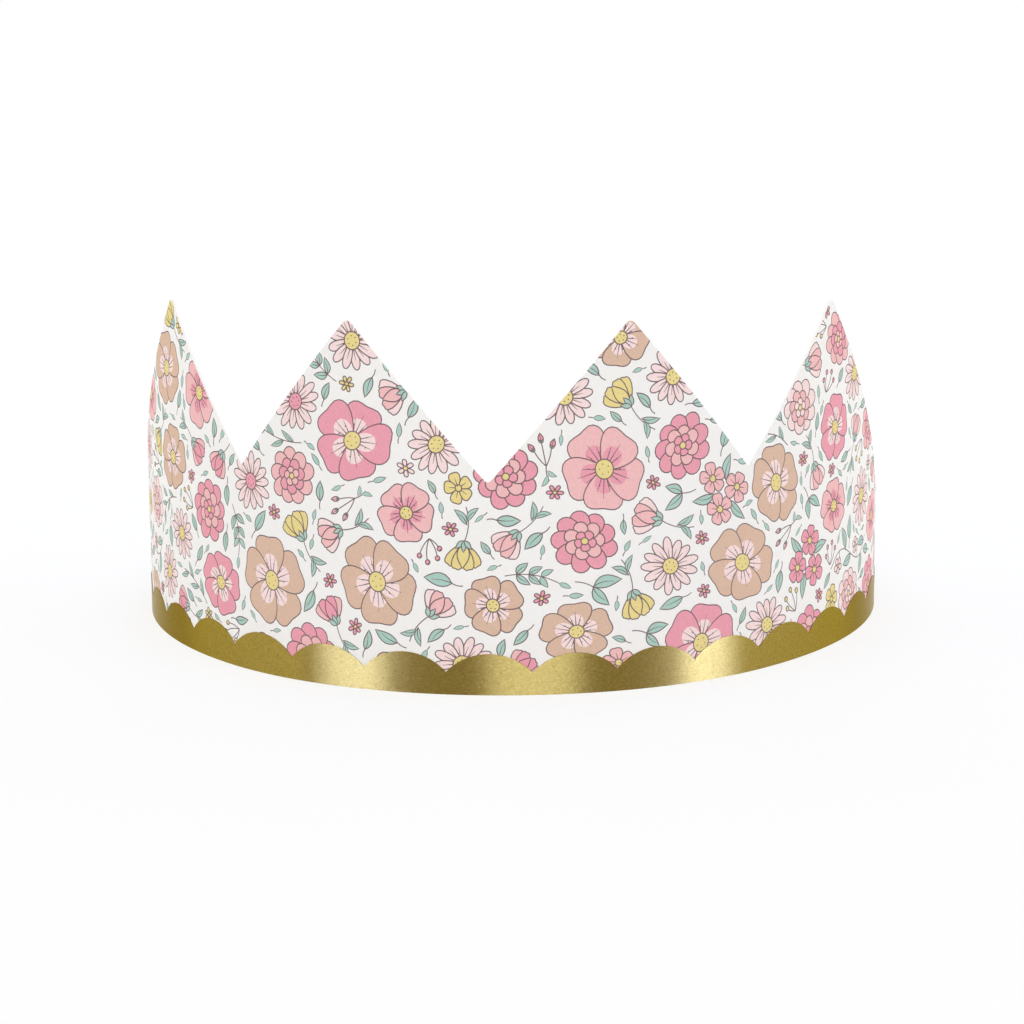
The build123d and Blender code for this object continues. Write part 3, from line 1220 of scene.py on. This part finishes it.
def floor():
    """A white floor that keeps the object's shadow and fades into the white behind."""
    mesh = bpy.data.meshes.new("floor")
    half = FLOOR_HALF
    corners = [(-half, -half, 0), (half, -half, 0), (half, half, 0), (-half, half, 0)]
    mesh.from_pydata(corners, [], [(0, 1, 2, 3)])
    ground = placed("floor", mesh)
    n = Nodes("floor_white")
    n.feed("Base Color", n.mix(n.noise(FLOOR_NOISE_SCALE), *FLOOR_TONES))
    n.give("Roughness", FLOOR_ROUGH)
    n.give("Specular IOR Level", FLOOR_SPECULAR)
    reach = n.add("ShaderNodeVectorMath", operation="LENGTH")
    n.join(n.place, reach.inputs[0])
    fade = n.ramp(reach.outputs["Value"], FLOOR_WHITE_SHARE, 1.0, FADE_START, FADE_END)
    share = n.add("ShaderNodeMath", operation="MULTIPLY")
    n.join(fade, share.inputs[0])
    n.join(seen_directly(n.tree), share.inputs[1])
    white = n.add("ShaderNodeEmission")
    white.inputs["Strength"].default_value = 1.0
    both = n.add("ShaderNodeMixShader")
    for number, node in enumerate((share, n.shader, white)):
        n.join(node.outputs[0], both.inputs[number])
    n.join(both.outputs[0], n.tree.nodes["Material Output"].inputs["Surface"])
    mesh.materials.append(n.material)


def sky(level):
    """White to the camera and in reflections, softer as a light."""
    world = bpy.data.worlds.new("studio")
    bpy.context.scene.world = world
    world.use_nodes = True
    tree = world.node_tree
    strength = tree.nodes.new("ShaderNodeMapRange")
    strength.inputs["To Min"].default_value = level
    tree.links.new(seen_directly(tree), strength.inputs["Value"])
    back = tree.nodes["Background"]
    back.inputs["Color"].default_value = WHITE + (1.0,)
    tree.links.new(strength.outputs["Result"], back.inputs["Strength"])


def area_light(name, width, height, radiance, colour):
    """A lamp with an even face that the camera doesn't see."""
    data = bpy.data.lights.new(name, "AREA")
    data.shape = "RECTANGLE"
    data.size = width
    data.size_y = height
    data.energy = radiance * LAMP_POWER * width * height
    data.color = colour
    box = placed(name, data)
    box.visible_camera = False
    return box


def standing_light(name, azimuth, width, height, radiance, colour):
    """A lamp that stands on the floor and faces the object."""
    box = area_light(name, width, height, radiance, colour)
    angle = math.radians(azimuth)
    middle = height / 2
    box.location = (LAMP_DISTANCE * math.sin(angle), -LAMP_DISTANCE * math.cos(angle), middle)
    aim = Vector((0, 0, middle)) - box.location
    box.rotation_euler = aim.to_track_quat("-Z", "Y").to_euler()
    return box


def soft_box(name, azimuth, radiance):
    """A broad light for the card that leaves no image of itself in the foil."""
    box = standing_light(name, azimuth, SOFT_BOX_WIDTH, SOFT_BOX_HEIGHT, radiance, WHITE)
    box.visible_glossy = False


def shine(name, azimuth, width, radiance, colour):
    """A tall strip that shows only as a reflection, as a bounce card does."""
    box = standing_light(name, azimuth, width, STRIP_HEIGHT, radiance, colour)
    box.visible_diffuse = False


def overhead():
    """A soft box above the object."""
    box = area_light("top_box", TOP_BOX_SIZE, TOP_BOX_SIZE, TOP_BOX_RADIANCE, WHITE)
    box.location = (0, 0, TOP_BOX_HEIGHT)
    box.visible_glossy = False


def camera():
    """The camera at the photograph's viewing angle."""
    data = bpy.data.cameras.new("camera")
    data.sensor_width = SENSOR_WIDTH
    data.lens = CAMERA_FOCUS / FRAME_WIDTH * SENSOR_WIDTH
    data.clip_start = CLIP_START
    eye = placed("camera", data)
    eye.location = CAMERA_PLACE
    aim = Euler((math.pi / 2 - CAMERA_PITCH, 0, CAMERA_YAW)).to_matrix()
    roll = Euler((0, 0, CAMERA_ROLL)).to_matrix()
    eye.rotation_euler = (aim @ roll).to_euler()
    bpy.context.scene.camera = eye


floor()
sky(SKY_LEVEL)
for soft_values in SOFT_BOXES:
    soft_box(*soft_values)
overhead()
for shine_values in SHINES:
    shine(*shine_values)
camera()
bpy.context.scene.view_settings.view_transform = "Standard"
